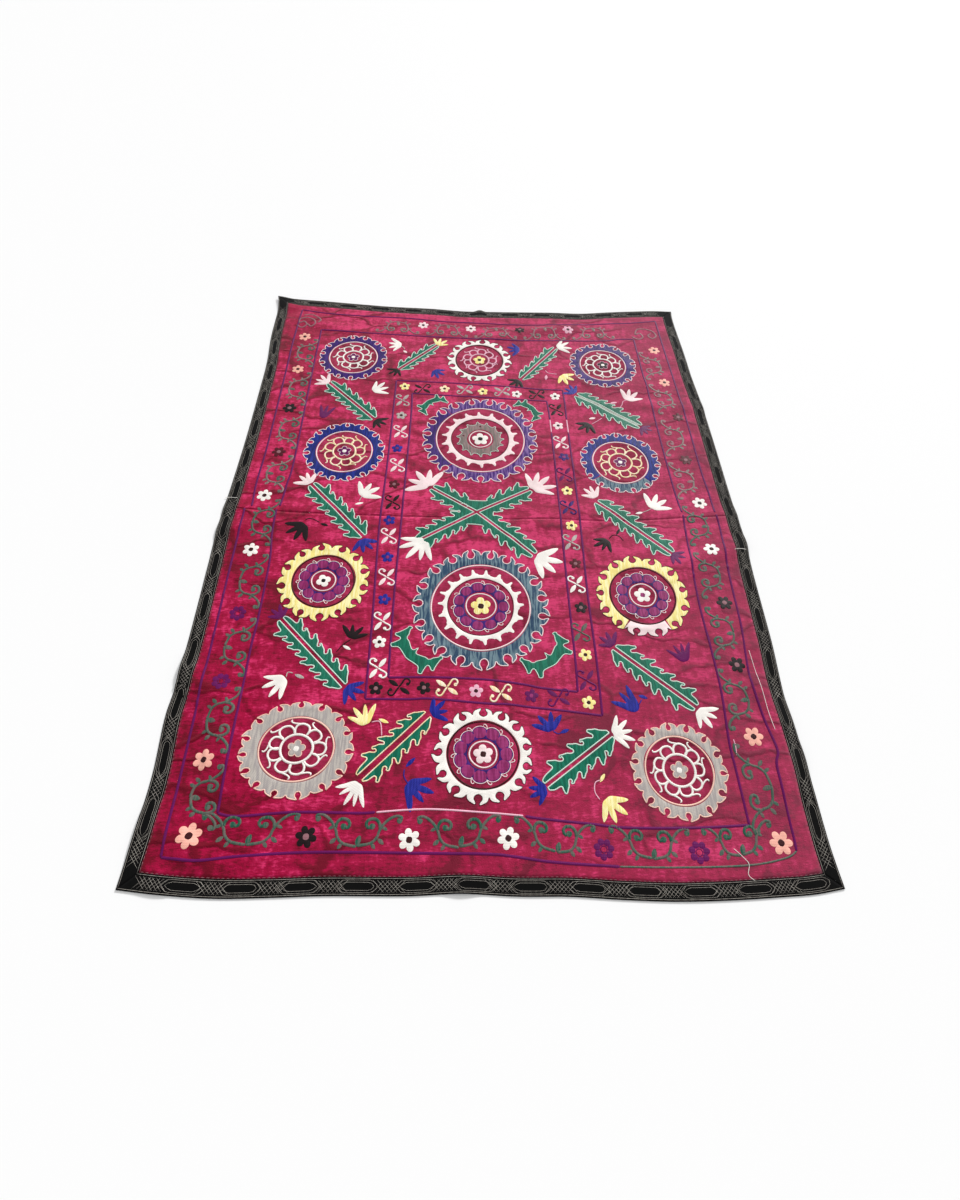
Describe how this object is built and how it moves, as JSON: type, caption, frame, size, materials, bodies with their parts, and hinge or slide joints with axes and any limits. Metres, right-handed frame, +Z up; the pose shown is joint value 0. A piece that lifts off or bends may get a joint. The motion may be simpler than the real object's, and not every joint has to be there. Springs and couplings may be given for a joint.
{
  "type": "suzani embroidered textile",
  "caption": "Rectangular velvet wall hanging or cover with chain-stitch rosettes, serrated leaves and tulips, edged in stitched black bands, laid flat with soft folds.",
  "frame": {"origin": "middle of the cloth's outline, on the surface it lies on", "axes": "+X across the cloth, +Y along it towards the far edge with the lapped join, +Z up out of the embroidered face"},
  "size_m": [1.622, 2.174, 0.0109],
  "materials": {
    "velvet": "crimson crushed pile",
    "edging": "matt black cotton",
    "edging_stitches": "grey machine thread",
    "thread_white": "lustrous chain stitch",
    "thread_pink": "lustrous chain stitch",
    "thread_yellow": "lustrous chain stitch",
    "thread_green": "lustrous chain stitch",
    "thread_grey": "lustrous chain stitch",
    "thread_blue": "lustrous chain stitch",
    "thread_violet": "lustrous chain stitch",
    "thread_black": "lustrous chain stitch"
  },
  "bodies": {
    "root": {"velvet_near": "velvet", "velvet_far": "velvet", "edging_left": "edging", "edging_right": "edging", "edging_near": "edging", "edging_far": "edging"}
  },
  "joints": []
}
